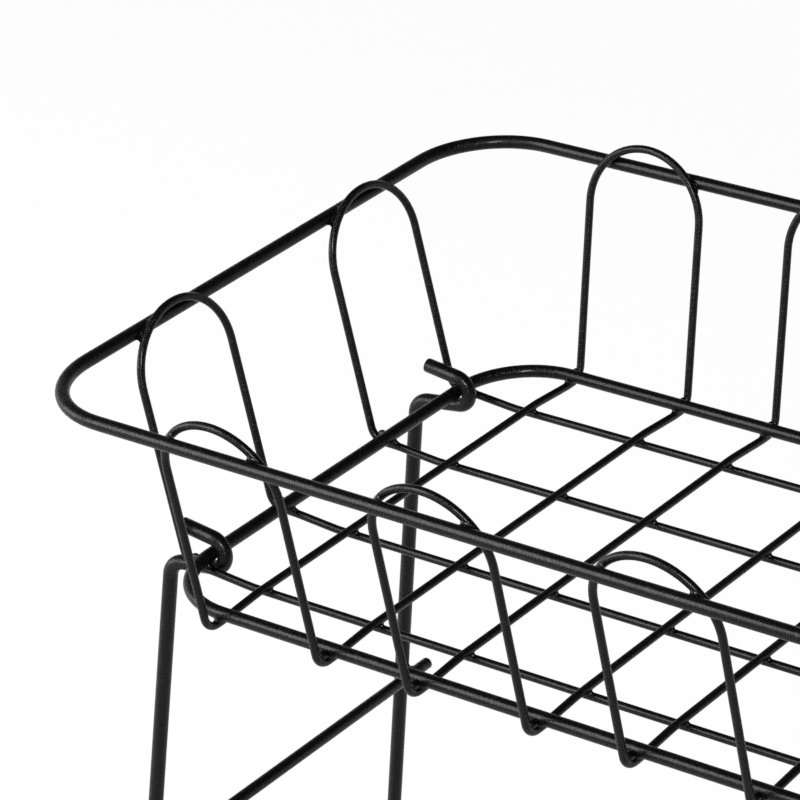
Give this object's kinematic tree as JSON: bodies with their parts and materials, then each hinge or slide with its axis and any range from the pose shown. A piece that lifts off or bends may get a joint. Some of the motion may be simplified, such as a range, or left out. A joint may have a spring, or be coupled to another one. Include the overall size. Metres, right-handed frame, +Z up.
{
  "type": "tiered wire basket",
  "caption": "Rectangular countertop basket in bent and welded wire: a smaller basket carried over a larger one by hooked side frames, with looped walls.",
  "frame": {"origin": "on the table, under the middle of both baskets", "axes": "+X along the baskets' length to the right, +Y to the rear, +Z up; the front long wall faces -Y"},
  "size_m": [0.4834, 0.29, 0.4387],
  "materials": {
    "powder_coat": "satin black powder coat",
    "rubber": "matt black rubber"
  },
  "bodies": {
    "lower_basket": {"lower_rim": "powder_coat", "lower_base_ring": "powder_coat", "lower_cross_loop_1": "powder_coat", "lower_cross_loop_2": "powder_coat", "lower_cross_loop_3": "powder_coat", "lower_cross_loop_4": "powder_coat", "lower_long_loop_front": "powder_coat", "lower_long_loop_rear": "powder_coat", "foot_front_left": "rubber", "foot_front_right": "rubber", "foot_rear_left": "rubber", "foot_rear_right": "rubber"},
    "upper_basket": {"upper_rim": "powder_coat", "upper_base_ring": "powder_coat", "upper_cross_loop_1": "powder_coat", "upper_cross_loop_2": "powder_coat", "upper_cross_loop_3": "powder_coat", "upper_cross_loop_4": "powder_coat", "upper_long_loop_front": "powder_coat", "upper_long_loop_rear": "powder_coat"},
    "left_side_frame": {"left_frame_front_leg": "powder_coat", "left_frame_rear_leg": "powder_coat", "left_frame_crossbar": "powder_coat"},
    "right_side_frame": {"right_frame_front_leg": "powder_coat", "right_frame_rear_leg": "powder_coat", "right_frame_crossbar": "powder_coat"}
  },
  "joints": [
    {"name": "upper_tier_lift", "type": "slide", "parent": "lower_basket", "child": "upper_basket", "axis": [0, 0, 1], "range_m": [0, 0.12]},
    {"name": "left_frame_swing", "type": "hinge", "parent": "upper_basket", "child": "left_side_frame", "pos_m": [-0.1807, 0, 0.35061], "axis": [0, -1, 0], "range_deg": [0, 45]},
    {"name": "right_frame_swing", "type": "hinge", "parent": "upper_basket", "child": "right_side_frame", "pos_m": [0.1807, 0, 0.35061], "axis": [0, 1, 0], "range_deg": [0, 45]}
  ]
}
